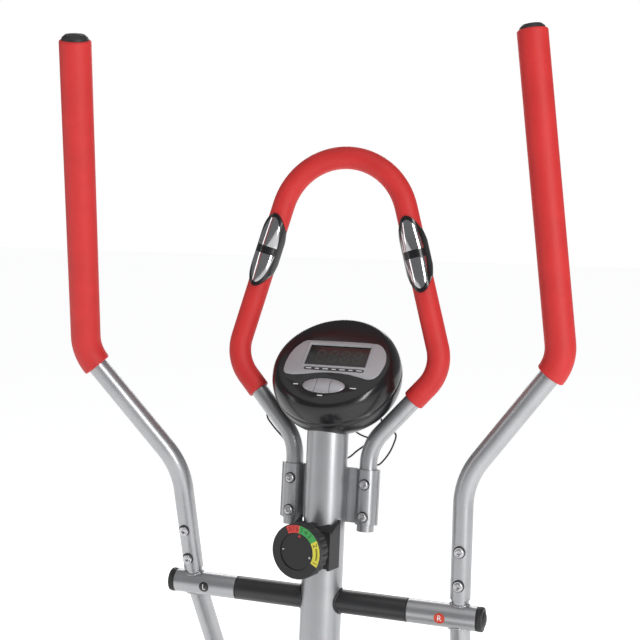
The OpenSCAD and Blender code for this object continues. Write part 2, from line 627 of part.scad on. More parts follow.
// ---------- pedals ----------
bar_in = bar_mid - bar_w / 2;
rear_eye = [96, 168];
front_eye = [hub_x - gap - 44, hub_x - gap];
pedal_at = [104, 474];
pedal_x = [95, 221];
pedal_bolts_y = [190, 390];
module pedal_bar(side) color(black) on_pedal_bar(side) difference() {
    union() {
        translate([bar_in, 0, -bar_h / 2]) cube([bar_w, bar_len, bar_h]);
        rod_x(rear_eye[0], rear_eye[1], 40);
        translate([0, bar_len, 0]) rod_x(front_eye[0], front_eye[1], hub_d);
    }
    difference() {
        translate([bar_in + 2, 2, -bar_h / 2 + 2]) cube([bar_w - 4, bar_len - 4, bar_h - 4]);
        rod_x(0, 300, 40);
        translate([0, bar_len, 0]) rod_x(0, 300, hub_d);
    }
    translate([bar_in - 1, -40, -40]) difference() {
        cube([bar_w + 2, 40, 80]);
        translate([0, 40, 40]) rod_x(-1, 60, 40);
    }
    translate([bar_in - 1, bar_len, -40]) difference() {
        cube([bar_w + 2, 40, 80]);
        translate([0, 0, 40]) rod_x(-1, 60, hub_d);
    }
    rod_x(0, 300, pin_d + 2 * fit);
    translate([0, bar_len, 0]) rod_x(0, 300, 12);
    for (y = pedal_bolts_y) translate([bar_mid, y, -40]) cylinder(h = 80, d = 8);
}
module rounded_plate(grow, h) {
    x0 = pedal_x[0] - grow;
    x1 = pedal_x[1] + grow;
    y0 = pedal_at[0] - grow;
    y1 = pedal_at[1] + grow;
    r = 22 + grow;
    linear_extrude(h) {
        translate([x0 + r, y0]) square([x1 - x0 - 2 * r, y1 - y0]);
        translate([x0, y0 + r]) square([x1 - x0, y1 - y0 - 2 * r]);
        for (x = [x0 + r, x1 - r]) for (y = [y0 + r, y1 - r]) translate([x, y]) circle(r = r);
    }
}
module pedal(side) color(black) on_pedal_bar(side) translate([0, 0, bar_h / 2]) difference() {
    rounded_plate(0, 42);
    translate([0, 0, 10]) rounded_plate(-4, 60);
    // the rim is low at the heel and high at the toe
    translate([0, pedal_at[0] - 1, 20]) cube([400, 150, 60]);
    translate([0, pedal_at[0] + 149, 20]) rotate([15, 0, 0]) cube([400, 150, 60]);
    for (i = [0:10]) translate([pedal_x[0] + 16, pedal_at[0] + 50 + i * 27, 8])
        cube([pedal_x[1] - pedal_x[0] - 32, 12, 5]);
    for (y = pedal_bolts_y) translate([bar_mid, y, -1]) cylinder(h = 30, d = 8);
}
module bar_bolts(side) color(steel) on_pedal_bar(side) {
    translate([0, bar_len, 0]) {
        rod_x(bar_in - 2, front_eye[1], 11.8);
        translate([bar_in - 9, 0, 0]) rotate([0, 90, 0]) cylinder(h = 9, d = 21, $fn = 6);
    }
    for (y = pedal_bolts_y) translate([bar_mid, y, 0]) {
        translate([0, 0, -bar_h / 2 - 9]) cylinder(h = bar_h + 19.2, d = shank);
        translate([0, 0, bar_h / 2 + 10.1]) cylinder(h = 4, d = 16);
        translate([0, 0, -bar_h / 2 - 7]) cylinder(h = 7, d = 15, $fn = 6);
    }
}

// ---------- drive ----------
module crank(side) {
    t = side < 0 ? throw : -throw;
    n = [-t[1], t[0]] / crank_r;
    color(steel) on_side(side) translate([0, crank_c[0], crank_c[1]]) difference() {
        union() {
            rod_x(crank_in, crank_out, 46);
            along_x(crank_in, crank_out) polygon([n * 21, t + n * 17, t - n * 17, -n * 21]);
            translate([0, t[0], t[1]]) {
                rod_x(crank_in, crank_out, 38);
                rod_x(crank_out, rear_eye[1] + gap, pin_d);
                rod_x(rear_eye[1] + gap, rear_eye[1] + gap + 3, 32);
                translate([rear_eye[1] + gap + 3, 0, 0]) rotate([0, 90, 0]) cylinder(h = 8, d = 20, $fn = 6);
            }
        }
        rod_x(0, 300, axle_d);
    }
}
module on_crank_axle() translate([0, crank_c[0], crank_c[1]]) children();
module crank_axle() color(steel) on_crank_axle() rod_x(-crank_out - 2, crank_out + 2, axle_d);
module crank_pulley() color(black) on_crank_axle() difference() {
    union() {
        rod_x(pulley_x[0], pulley_x[1], 2 * pulley_r);
        rod_x(pulley_x[0] - 2, pulley_x[1] + 18, 60);
    }
    rod_x(0, 80, axle_d);
    for (a = [0:60:300]) rotate([a, 0, 0]) translate([0, 80, 0]) rod_x(0, 80, 46);
}
module crank_bearings() color(steel) on_crank_axle() for (x = [[-42, -30], [2, 14]]) difference() {
    rod_x(x[0], x[1], 42);
    rod_x(x[0] - 1, x[1] + 1, axle_d + 2 * fit);
}
module drive_belt() color(black) along_x(pulley_x[0] + 1, pulley_x[1] - 1) difference() {
    drive_outline(pulley_r + 4.4, fly_pulley_r + 4.4);
    drive_outline(pulley_r + 0.4, fly_pulley_r + 0.4);
}
module on_flywheel() translate([0, fly_c[0], fly_c[1]]) children();
module flywheel() color([0.45, 0.45, 0.47]) on_flywheel() difference() {
    union() {
        rod_x(disc_x[0], disc_x[1], flywheel_d);
        rod_x(-36, 38, 38);
        rod_x(pulley_x[0], pulley_x[1], 2 * fly_pulley_r);
    }
    rod_x(-80, 80, fly_axle_d + 2 * fit);
    for (x = [disc_x[0] - 1, disc_x[1] - 6]) difference() {
        rod_x(x, x + 7, 150);
        rod_x(x - 1, x + 8, 60);
    }
}
module flywheel_axle() color(steel) on_flywheel() {
    rod_x(-54, 54, fly_axle_d);
    for (x = [-54, 46]) translate([x, 0, 0]) rotate([0, 90, 0]) cylinder(h = 8, d = 20, $fn = 6);
}
brake_r = flywheel_d / 2 + 5;
brake_pin = [fly_c[0] - 40, fly_c[1] + 108];
module magnet_bracket() color(steel) {
    on_flywheel() {
        along_x(disc_x[0] - 2, disc_x[1] + 2) intersection() {
            difference() {
                circle(r = brake_r + 5, $fn = 96);
                circle(r = brake_r + 2, $fn = 96);
            }
            translate([-30, 20]) square([200, 200]);
        }
        for (a = [20:15:80]) rotate([a, 0, 0]) translate([0, brake_r + 0.5, -8])
            translate([disc_x[0], 0, 0]) cube([disc_x[1] - disc_x[0], 3, 16]);
    }
    difference() {
        union() {
            translate([0, brake_pin[0], brake_pin[1]]) rod_x(-41.4, disc_x[1] + 2, 14);
            translate([disc_x[0] - 2, brake_pin[0], brake_pin[1] - 4]) cube([disc_x[1] - disc_x[0] + 4, 24, 6]);
        }
        translate([0, brake_pin[0], brake_pin[1]]) rod_x(-50, 20, 8 + 2 * fit);
    }
}
module cover(s) color(black) on_side(s) difference() {
    along_x(0.2, cover_x) intersection() {
        drive_outline(150, 132);
        translate([-1000, beam_hi + 1]) square([2000, 600]);
    }
    along_x(-1, cover_x - cover_wall) intersection() {
        drive_outline(150 - cover_wall, 132 - cover_wall);
        translate([-1000, beam_hi + 1 + cover_wall]) square([2000, 600]);
    }
    on_crank_axle() rod_x(0, 100, 52);
    translate([-1, crank_c[0] - 30, beam_hi - 2]) cube([54, fly_c[0] - crank_c[0] + 70, 10]);
}
module cover_left() cover(-1);
module cover_right() cover(1);

main_frame();
front_stabilizer();
rear_stabilizer();
stabilizer_caps();
frame_fasteners();
upright_post();
cross_axle();
axle_sleeves();
axle_end_caps();
fixed_handlebar();
handlebar_foam();
handlebar_clamps();
pulse_housings();
pulse_plates();
console_front_shell();
console_rear_shell();
console_fascia();
lcd_window();
display_board();
key_left();
key_middle();
key_right();
knob_housing();
tension_knob();
knob_pointer();
tension_cable();
sensor_lead();
pulse_lead_left();
pulse_lead_right();
lower_arm(-1);  // lower_arm_left
lower_arm(1);  // lower_arm_right
handle_tube(-1);  // handle_left
handle_tube(1);  // handle_right
handle_foam(-1);  // handle_foam_left
handle_foam(1);  // handle_foam_right
handle_cap(-1);  // handle_cap_left
handle_cap(1);  // handle_cap_right
arm_bolts(-1);  // arm_bolts_left
arm_bolts(1);  // arm_bolts_right
arm_bushings(-1);  // arm_bushings_left
arm_bushings(1);  // arm_bushings_right
pedal_bar(-1);  // pedal_bar_left
pedal_bar(1);  // pedal_bar_right
pedal(-1);  // pedal_left
pedal(1);  // pedal_right
bar_bolts(-1);  // bar_bolts_left
bar_bolts(1);  // bar_bolts_right
crank(-1);  // crank_left
crank(1);  // crank_right
crank_axle();
crank_pulley();
crank_bearings();
drive_belt();
flywheel();
flywheel_axle();
magnet_bracket();
cover_left();
cover_right();
transport_wheel(-1);  // transport_wheel_left
transport_wheel(1);  // transport_wheel_right
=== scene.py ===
from math import atan2, cos, pi, radians, sin, sqrt, tan

import bpy
from mathutils import Matrix, Vector


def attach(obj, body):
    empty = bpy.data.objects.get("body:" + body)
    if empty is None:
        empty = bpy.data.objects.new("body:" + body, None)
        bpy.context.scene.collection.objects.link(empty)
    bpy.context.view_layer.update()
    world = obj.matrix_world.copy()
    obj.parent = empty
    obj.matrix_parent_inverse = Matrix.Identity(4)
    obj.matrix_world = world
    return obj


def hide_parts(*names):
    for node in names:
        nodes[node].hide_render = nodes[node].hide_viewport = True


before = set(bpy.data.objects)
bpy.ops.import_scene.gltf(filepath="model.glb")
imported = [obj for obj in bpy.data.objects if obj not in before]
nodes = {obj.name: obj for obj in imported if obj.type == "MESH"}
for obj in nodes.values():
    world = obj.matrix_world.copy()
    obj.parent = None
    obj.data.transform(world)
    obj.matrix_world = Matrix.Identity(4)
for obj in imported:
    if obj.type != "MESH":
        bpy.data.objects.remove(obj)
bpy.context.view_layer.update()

# ---------- Camera ----------
# A long lens in front of the rider's seat, level with the console, looking a little down.
bpy.ops.object.camera_add(location=(0.5419, -1.3168, 1.4349))
camera = bpy.context.object
camera.data.lens = 66.54
camera.data.sensor_width = 36
azimuth, elevation, roll = radians(19.25), radians(7.77), radians(0.23)
back = Vector((sin(azimuth) * cos(elevation), -cos(azimuth) * cos(elevation), sin(elevation)))
right = Vector((cos(azimuth), sin(azimuth), 0))
up = back.cross(right)
across = right * cos(roll) + up * sin(roll)
upward = up * cos(roll) - right * sin(roll)
turned = Matrix((across, upward, back)).transposed().to_4x4()
camera.matrix_world = Matrix.Translation(camera.location) @ turned
bpy.context.scene.camera = camera
bpy.context.scene.view_settings.view_transform = "Standard"

# ---------- Studio ----------
# A plain pale floor, a white room, and soft boxes: a tall one to the rider's right, a wide one
# overhead and a dim one to the left, so that the round tubes show a bright stripe and a dark side.
bpy.ops.mesh.primitive_plane_add(size=30)
floor = bpy.context.object
floor.name = "studio_floor"
floor_paint = bpy.data.materials.new("studio_paper")
floor_paint.use_nodes = True
floor_paint.node_tree.nodes["Principled BSDF"].inputs["Base Color"].default_value = (0.86, 0.86, 0.86, 1)
floor_paint.node_tree.nodes["Principled BSDF"].inputs["Roughness"].default_value = 0.9
floor_paint.node_tree.nodes["Principled BSDF"].inputs["Emission Color"].default_value = (1, 1, 1, 1)
floor_paint.node_tree.nodes["Principled BSDF"].inputs["Emission Strength"].default_value = 0.78
floor.data.materials.append(floor_paint)

room = bpy.data.worlds.new("white_room")
bpy.context.scene.world = room
room.use_nodes = True
room_nodes, room_links = room.node_tree.nodes, room.node_tree.links
shown = room_nodes.new("ShaderNodeBackground")
shown.inputs["Color"].default_value = (1, 1, 1, 1)
lighting = room_nodes["Background"]
lighting.inputs["Color"].default_value = (0.22, 0.222, 0.228, 1)
seen = room_nodes.new("ShaderNodeLightPath")
choice = room_nodes.new("ShaderNodeMixShader")
room_links.new(seen.outputs["Is Camera Ray"], choice.inputs["Fac"])
room_links.new(lighting.outputs["Background"], choice.inputs[1])
room_links.new(shown.outputs["Background"], choice.inputs[2])
room_links.new(choice.outputs["Shader"], room_nodes["World Output"].inputs["Surface"])

for name, place, aim, size, power in [
        ("right_box", (2.1, -1.5, 1.9), (0, 0.2, 1.1), (0.5, 2.2), 46),
        ("left_box", (-2.4, -1.2, 1.8), (0, 0.2, 1.0), (0.4, 2.0), 6),
        ("top_box", (0.1, -0.4, 3.2), (0, 0.2, 0.9), (2.2, 2.2), 10),
        ("back_box", (-0.8, 2.8, 2.2), (0, 0.2, 1.0), (2.0, 1.4), 26)]:
    bpy.ops.object.light_add(type="AREA", location=place)
    box = bpy.context.object
    box.name = name
    box.data.shape = "RECTANGLE"
    box.data.size, box.data.size_y = size
    box.data.energy = power
    box.rotation_euler = (Vector(aim) - Vector(place)).to_track_quat("-Z", "Y").to_euler()


# ---------- Signal leads ----------
# Three thin rubber leads behind the console: one from the post, and one from each end of the fixed
# handlebar for the pulse grips. Each loops out in the air and plugs into the console or the post.
def new_material(name):
    material = bpy.data.materials.new(name)
    material.use_nodes = True
    return material, material.node_tree.nodes["Principled BSDF"]


# Fine and coarse grain over a surface, in metres: a height for bumps and a value for colours
def make_grain():
    group = bpy.data.node_groups.new("surface_grain", "ShaderNodeTree")
    for socket, value in [("Fine Size", 0.0008), ("Coarse Size", 0.05), ("Fine Share", 0.5)]:
        made = group.interface.new_socket(socket, in_out="INPUT", socket_type="NodeSocketFloat")
        made.default_value = value
    for socket in ["Height", "Mottle"]:
        group.interface.new_socket(socket, in_out="OUTPUT", socket_type="NodeSocketFloat")
    given = group.nodes.new("NodeGroupInput")
    result = group.nodes.new("NodeGroupOutput")
    place = group.nodes.new("ShaderNodeTexCoord")
    heights = []
    for socket, detail in [("Fine Size", 2), ("Coarse Size", 3)]:
        per_metre = group.nodes.new("ShaderNodeMath")
        per_metre.operation = "DIVIDE"
        per_metre.inputs[0].default_value = 1
        group.links.new(given.outputs[socket], per_metre.inputs[1])
        noise = group.nodes.new("ShaderNodeTexNoise")
        noise.inputs["Detail"].default_value = detail
        group.links.new(place.outputs["Object"], noise.inputs["Vector"])
        group.links.new(per_metre.outputs["Value"], noise.inputs["Scale"])
        heights.append(noise.outputs["Fac"])
    blend = group.nodes.new("ShaderNodeMix")
    group.links.new(given.outputs["Fine Share"], blend.inputs["Factor"])
    group.links.new(heights[1], blend.inputs["A"])
    group.links.new(heights[0], blend.inputs["B"])
    group.links.new(blend.outputs["Result"], result.inputs["Height"])
    group.links.new(heights[1], result.inputs["Mottle"])
    return group


grain_group = make_grain()


# Grain in one material: a bump of so many metres, and the colour and roughness ramped over a range
def add_grain(material, shader, fine, coarse, share, bump, dark, light, rough):
    tree = material.node_tree
    grain = tree.nodes.new("ShaderNodeGroup")
    grain.node_tree = grain_group
    grain.inputs["Fine Size"].default_value = fine
    grain.inputs["Coarse Size"].default_value = coarse
    grain.inputs["Fine Share"].default_value = share
    bumps = tree.nodes.new("ShaderNodeBump")
    bumps.inputs["Distance"].default_value = bump
    tree.links.new(grain.outputs["Height"], bumps.inputs["Height"])
    tree.links.new(bumps.outputs["Normal"], shader.inputs["Normal"])
    tint = tree.nodes.new("ShaderNodeMix")
    tint.data_type = "RGBA"
    tint.inputs["A"].default_value = (*dark, 1)
    tint.inputs["B"].default_value = (*light, 1)
    tree.links.new(grain.outputs["Mottle"], tint.inputs["Factor"])
    tree.links.new(tint.outputs["Result"], shader.inputs["Base Color"])
    gloss = tree.nodes.new("ShaderNodeMapRange")
    gloss.inputs["From Min"].default_value = 0.3
    gloss.inputs["From Max"].default_value = 0.7
    gloss.inputs["To Min"].default_value, gloss.inputs["To Max"].default_value = rough
    tree.links.new(grain.outputs["Height"], gloss.inputs["Value"])
    tree.links.new(gloss.outputs["Result"], shader.inputs["Roughness"])
    return bumps, tint


cord_rubber, shader = new_material("cord_rubber")
add_grain(cord_rubber, shader, fine=0.0006, coarse=0.02, share=0.6, bump=0.00005,
          dark=(0.012, 0.012, 0.013), light=(0.03, 0.03, 0.03), rough=(0.4, 0.6))

lead_size = 0.0026
# Each lead's free length, and points along it in millimetres
for name, length, route in [
        ("sensor_lead", 0.116, [
            (16, 284, 1000), (25, 295, 1001), (34, 305, 1009), (44, 311, 1017),
            (57, 321, 1030), (65, 325, 1050), (60, 327, 1063), (54, 326, 1076)]),
        ("pulse_lead_right", 0.161, [
            (60, 288, 996), (64, 296, 993), (70, 303, 993), (81, 307, 1007), (88, 310, 1022),
            (90, 315, 1036), (76, 323, 1039), (60, 325, 1030), (46, 323, 1026), (28, 319, 1034),
            (18, 312, 1050)]),
        ("pulse_lead_left", 0.130, [
            (-62, 288, 1004), (-70, 296, 1008), (-81, 302, 1020), (-93, 307, 1029),
            (-104, 312, 1038), (-113, 318, 1047), (-113, 324, 1060), (-98, 328, 1069), (-76, 326, 1069)])]:
    points = [Vector(point) / 1000 for point in route]
    line = bpy.data.curves.new(name + "_rubber", "CURVE")
    line.dimensions = "3D"
    line.bevel_depth = lead_size / 2
    line.bevel_resolution = 4
    line.use_fill_caps = True
    spline = line.splines.new("BEZIER")
    spline.resolution_u = 8
    spline.bezier_points.add(len(points) - 1)
    for i, knot in enumerate(spline.bezier_points):
        before, after = points[max(i - 1, 0)], points[min(i + 1, len(points) - 1)]
        knot.co = points[i]
        knot.handle_left = points[i] - (after - before) / 6
        knot.handle_right = points[i] + (after - before) / 6
    lead = bpy.data.objects.new(name + "_rubber", line)
    bpy.context.collection.objects.link(lead)
    line.materials.append(cord_rubber)
    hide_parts(name)
    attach(lead, "frame")


# ---------- Main frame, post, handles and arms ----------
# Welded steel tube in a metallic silver-grey powder coat, with fine flake in it and a slight orange
# peel. Corners are a little rubbed.
def paint(material, *names):
    for name in names:
        nodes[name].data.materials.clear()
        nodes[name].data.materials.append(material)


# Softened corners: a normal rounded over so many metres, and how near the surface is to a corner
def make_corners():
    group = bpy.data.node_groups.new("worn_corners", "ShaderNodeTree")
    made = group.interface.new_socket("Radius", in_out="INPUT", socket_type="NodeSocketFloat")
    made.default_value = 0.0008
    group.interface.new_socket("Normal", in_out="OUTPUT", socket_type="NodeSocketVector")
    group.interface.new_socket("Corner", in_out="OUTPUT", socket_type="NodeSocketFloat")
    given = group.nodes.new("NodeGroupInput")
    result = group.nodes.new("NodeGroupOutput")
    rounded = group.nodes.new("ShaderNodeBevel")
    rounded.samples = 4
    surface = group.nodes.new("ShaderNodeNewGeometry")
    along = group.nodes.new("ShaderNodeVectorMath")
    along.operation = "DOT_PRODUCT"
    near = group.nodes.new("ShaderNodeMapRange")
    near.inputs["From Min"].default_value = 0.99
    near.inputs["From Max"].default_value = 0.8
    group.links.new(given.outputs["Radius"], rounded.inputs["Radius"])
    group.links.new(rounded.outputs["Normal"], along.inputs[0])
    group.links.new(surface.outputs["Normal"], along.inputs[1])
    group.links.new(along.outputs["Value"], near.inputs["Value"])
    group.links.new(rounded.outputs["Normal"], result.inputs["Normal"])
    group.links.new(near.outputs["Result"], result.inputs["Corner"])
    return group


corner_group = make_corners()


# Rounds the corners in one material and rubs them to a colour
def add_corners(material, bumps, tint, shader, radius, rubbed, amount):
    tree = material.node_tree
    corners = tree.nodes.new("ShaderNodeGroup")
    corners.node_tree = corner_group
    corners.inputs["Radius"].default_value = radius
    tree.links.new(corners.outputs["Normal"], bumps.inputs["Normal"])
    share = tree.nodes.new("ShaderNodeMath")
    share.operation = "MULTIPLY"
    share.inputs[1].default_value = amount
    tree.links.new(corners.outputs["Corner"], share.inputs[0])
    worn = tree.nodes.new("ShaderNodeMix")
    worn.data_type = "RGBA"
    worn.inputs["B"].default_value = (*rubbed, 1)
    tree.links.new(share.outputs["Value"], worn.inputs["Factor"])
    tree.links.new(tint.outputs["Result"], worn.inputs["A"])
    tree.links.new(worn.outputs["Result"], shader.inputs["Base Color"])
    return worn


silver_paint, shader = new_material("silver_paint")
shader.inputs["Metallic"].default_value = 0.8
shader.inputs["Coat Weight"].default_value = 0.25
shader.inputs["Coat Roughness"].default_value = 0.25
bumps, tint = add_grain(silver_paint, shader, fine=0.0009, coarse=0.06, share=0.85, bump=0.00002,
                        dark=(0.36, 0.365, 0.375), light=(0.48, 0.485, 0.495), rough=(0.3, 0.42))
flakes = silver_paint.node_tree.nodes.new("ShaderNodeTexVoronoi")
flakes.inputs["Scale"].default_value = 1800
place = silver_paint.node_tree.nodes.new("ShaderNodeTexCoord")
silver_paint.node_tree.links.new(place.outputs["Object"], flakes.inputs["Vector"])
glint = silver_paint.node_tree.nodes.new("ShaderNodeMix")
glint.data_type = "RGBA"
glint.blend_type = "SOFT_LIGHT"
glint.inputs["Factor"].default_value = 0.14
worn = add_corners(silver_paint, bumps, tint, shader, radius=0.0007, rubbed=(0.6, 0.6, 0.6), amount=0.5)
silver_paint.node_tree.links.new(worn.outputs["Result"], glint.inputs["A"])
silver_paint.node_tree.links.new(flakes.outputs["Color"], glint.inputs["B"])
silver_paint.node_tree.links.new(glint.outputs["Result"], shader.inputs["Base Color"])
paint(silver_paint, "main_frame", "upright_post", "fixed_handlebar", "handlebar_clamps", "handle_left",
      "handle_right", "lower_arm_left", "lower_arm_right", "magnet_bracket")

# ---------- Stabilisers, pedal bars and sleeves ----------
# The same steel tube in satin black: stabilisers, pedal bars and the sleeves over the cross axle.
black_paint, shader = new_material("black_paint")
shader.inputs["Coat Weight"].default_value = 0.3
shader.inputs["Coat Roughness"].default_value = 0.3
bumps, tint = add_grain(black_paint, shader, fine=0.0008, coarse=0.04, share=0.85, bump=0.00006,
                        dark=(0.012, 0.012, 0.013), light=(0.026, 0.026, 0.028), rough=(0.34, 0.5))
add_corners(black_paint, bumps, tint, shader, radius=0.0008, rubbed=(0.11, 0.11, 0.11), amount=0.5)
paint(black_paint, "front_stabilizer", "rear_stabilizer", "pedal_bar_left", "pedal_bar_right",
      "axle_sleeves")

# ---------- Bright steel ----------
# Zinc-plated screws and nuts, the ground axles, and the crank arms.
zinc_steel, shader = new_material("zinc_steel")
shader.inputs["Metallic"].default_value = 1
bumps, tint = add_grain(zinc_steel, shader, fine=0.0005, coarse=0.012, share=0.6, bump=0.00003,
                        dark=(0.42, 0.42, 0.43), light=(0.68, 0.68, 0.7), rough=(0.2, 0.36))
add_corners(zinc_steel, bumps, tint, shader, radius=0.0004, rubbed=(0.85, 0.85, 0.85), amount=0.7)
paint(zinc_steel, "frame_fasteners", "cross_axle", "arm_bolts_left", "arm_bolts_right", "bar_bolts_left",
      "bar_bolts_right", "crank_left", "crank_right", "crank_axle", "crank_bearings", "flywheel_axle")

# ---------- Flywheel ----------
# A turned cast-iron disc: a dark, slightly rough casting.
cast_iron, shader = new_material("cast_iron")
shader.inputs["Metallic"].default_value = 0.9
bumps, tint = add_grain(cast_iron, shader, fine=0.0006, coarse=0.02, share=0.7, bump=0.0001,
                        dark=(0.16, 0.16, 0.165), light=(0.3, 0.3, 0.31), rough=(0.35, 0.6))
add_corners(cast_iron, bumps, tint, shader, radius=0.001, rubbed=(0.5, 0.5, 0.5), amount=0.6)
paint(cast_iron, "flywheel")

# ---------- Moulded black plastic ----------
# Injection-moulded parts with a fine spark texture: caps, bushes, covers, pedals, knob housing.
black_plastic, shader = new_material("black_plastic")
shader.inputs["Specular IOR Level"].default_value = 0.45
bumps, tint = add_grain(black_plastic, shader, fine=0.0005, coarse=0.03, share=0.8, bump=0.00012,
                        dark=(0.014, 0.014, 0.015), light=(0.03, 0.03, 0.031), rough=(0.42, 0.6))
add_corners(black_plastic, bumps, tint, shader, radius=0.0009, rubbed=(0.07, 0.07, 0.07), amount=0.5)
paint(black_plastic, "stabilizer_caps", "axle_end_caps", "handle_cap_left", "handle_cap_right",
      "arm_bushings_left", "arm_bushings_right", "pedal_left", "pedal_right", "knob_housing",
      "crank_pulley", "cover_left", "cover_right", "tension_knob", "pulse_housings")

# ---------- Wheels, belt and cable ----------
# Black rubber with a dull, even skin: the two transport wheels, the drive belt, and the sleeve of the
# tension cable.
wheel_rubber, shader = new_material("wheel_rubber")
bumps, tint = add_grain(wheel_rubber, shader, fine=0.0007, coarse=0.01, share=0.7, bump=0.00008,
                        dark=(0.018, 0.018, 0.018), light=(0.04, 0.04, 0.04), rough=(0.55, 0.75))
add_corners(wheel_rubber, bumps, tint, shader, radius=0.0012, rubbed=(0.09, 0.09, 0.09), amount=0.4)
paint(wheel_rubber, "transport_wheel_left", "transport_wheel_right", "drive_belt", "tension_cable")

# ---------- Display board ----------
# The green circuit board behind the display, clipped inside the console.
board_green, shader = new_material("board_green")
add_grain(board_green, shader, fine=0.0004, coarse=0.008, share=0.5, bump=0.00005,
          dark=(0.015, 0.08, 0.03), light=(0.03, 0.15, 0.06), rough=(0.35, 0.5))
paint(board_green, "display_board")


# ---------- Foam grips ----------
# Closed-cell red foam pulled over the bare tube: one long grip over the loop of the fixed handlebar,
# and one on each swinging handle. The ends are cut square and their edges are soft.
def only(*objs):
    bpy.ops.object.select_all(action="DESELECT")
    for obj in objs:
        obj.select_set(True)
    bpy.context.view_layer.objects.active = objs[0]


def mode(name):
    bpy.ops.object.mode_set(mode=name)


# Puts a finished mesh in its place and leaves the object at the origin
def settle(obj, name, material, body, place):
    only(obj)
    obj.name = name
    obj.data.transform(place @ obj.matrix_world)
    obj.matrix_world = Matrix.Identity(4)
    mode("EDIT")
    bpy.ops.mesh.select_all(action="SELECT")
    bpy.ops.mesh.remove_doubles(threshold=1e-6)
    bpy.ops.mesh.normals_make_consistent(inside=False)
    mode("OBJECT")
    bpy.ops.object.shade_smooth_by_angle(angle=radians(38))
    obj.data.materials.clear()
    obj.data.materials.append(material)
    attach(obj, body)


# A round bar in the XZ plane that follows corners, each with its own bend radius
def swept_bar(corners, radii, radius, soft, sides=56):
    corners = [Vector((x, 0, z)) for x, z in corners]
    along = (corners[1] - corners[0]).normalized()
    bpy.ops.mesh.primitive_circle_add(vertices=sides, radius=radius)
    bar = bpy.context.object
    bar.data.transform(Matrix.Translation(corners[0]) @ along.to_track_quat("Z", "Y").to_matrix().to_4x4())
    only(bar)
    mode("EDIT")
    bpy.ops.mesh.select_all(action="SELECT")
    at = corners[0]
    for i in range(1, len(corners)):
        if i == len(corners) - 1:
            bpy.ops.mesh.extrude_region_move(TRANSFORM_OT_translate={"value": corners[i] - at})
            break
        onward = (corners[i + 1] - corners[i]).normalized()
        angle = along.angle(onward)
        reach = radii[i - 1] * tan(angle / 2)
        start = corners[i] - along * reach
        bpy.ops.mesh.extrude_region_move(TRANSFORM_OT_translate={"value": start - at})
        axis = along.cross(onward).normalized()
        centre = start + axis.cross(along) * radii[i - 1]
        bpy.ops.mesh.spin(steps=max(6, int(angle / radians(4))), angle=angle, center=centre, axis=-axis)
        at = corners[i] + onward * reach
        along = onward
    bpy.ops.mesh.select_all(action="DESELECT")
    bpy.ops.mesh.select_non_manifold()
    bpy.ops.mesh.edge_face_add()
    bpy.ops.mesh.select_non_manifold()
    mode("OBJECT")
    bar.data.update()
    ends = [face for face in bar.data.polygons if len(face.vertices) > 4]
    rims = {edge for face in ends for edge in face.edge_keys}
    for edge in bar.data.edges:
        edge.select = tuple(sorted(edge.vertices)) in rims
    mode("EDIT")
    bpy.ops.mesh.select_mode(type="EDGE")
    bpy.ops.mesh.bevel(offset=soft, segments=4, affect="EDGES")
    mode("OBJECT")
    return bar


red_foam, shader = new_material("red_foam")
shader.inputs["Sheen Weight"].default_value = 0.15
shader.inputs["Sheen Roughness"].default_value = 0.4
shader.inputs["Sheen Tint"].default_value = (1, 0.35, 0.3, 1)
bumps, tint = add_grain(red_foam, shader, fine=0.0011, coarse=0.035, share=0.8, bump=0.00022,
                        dark=(0.50, 0.014, 0.014), light=(0.66, 0.026, 0.024), rough=(0.5, 0.66))
pores = red_foam.node_tree.nodes.new("ShaderNodeTexVoronoi")
pores.inputs["Scale"].default_value = 1100
place = red_foam.node_tree.nodes.new("ShaderNodeTexCoord")
red_foam.node_tree.links.new(place.outputs["Object"], pores.inputs["Vector"])
pitted = red_foam.node_tree.nodes.new("ShaderNodeBump")
pitted.inputs["Distance"].default_value = 0.0001
pitted.inputs["Strength"].default_value = 0.5
red_foam.node_tree.links.new(pores.outputs["Distance"], pitted.inputs["Height"])
red_foam.node_tree.links.new(pitted.outputs["Normal"], bumps.inputs["Normal"])

other_side = Matrix.Scale(-1, 4, (1, 0, 0))
at_axle = Matrix.Translation((0, 0.245, 0.8))
bar_lean = radians(8)
on_bar = at_axle @ Matrix.Translation((0, 0.015, 0)) @ Matrix.Rotation(-bar_lean, 4, "X")
bar_bend, bar_knee, loop_tip = Vector((0.057, 0.224)), Vector((0.160, 0.340)), Vector((0, 0.903))
knee_round, loop_round = 0.06, 0.098
foam_end = bar_knee - (bar_knee - bar_bend).normalized() * 0.062
loop_foam = swept_bar([(-foam_end.x, foam_end.y), (-bar_knee.x, bar_knee.y), loop_tip, bar_knee, foam_end],
                      [knee_round, loop_round, knee_round], radius=0.0165, soft=0.0025)
settle(loop_foam, "loop_grip", red_foam, "frame", on_bar)
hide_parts("handlebar_foam")

# Each arm stands at its own swing, and its tubes run a little behind the middle of the axle
arm_x, tube_y = 0.204, 0.006
handle_bend, handle_knee = Vector((arm_x, 0.193)), Vector((0.332, 0.367))
handle_top = Vector((0.276, 0.808))
grip_end = handle_knee - (handle_knee - handle_bend).normalized() * 0.026
on_arm = {"left": other_side @ at_axle @ Matrix.Rotation(radians(13.8), 4, "X"),
          "right": at_axle @ Matrix.Rotation(radians(-3.2), 4, "X")}
for side in ["left", "right"]:
    grip = swept_bar([grip_end, handle_knee, handle_top], [knee_round], radius=0.021, soft=0.003)
    settle(grip, "handle_grip_" + side, red_foam, side + "_arm",
           on_arm[side] @ Matrix.Translation((0, tube_y, 0)))
    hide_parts("handle_foam_" + side)

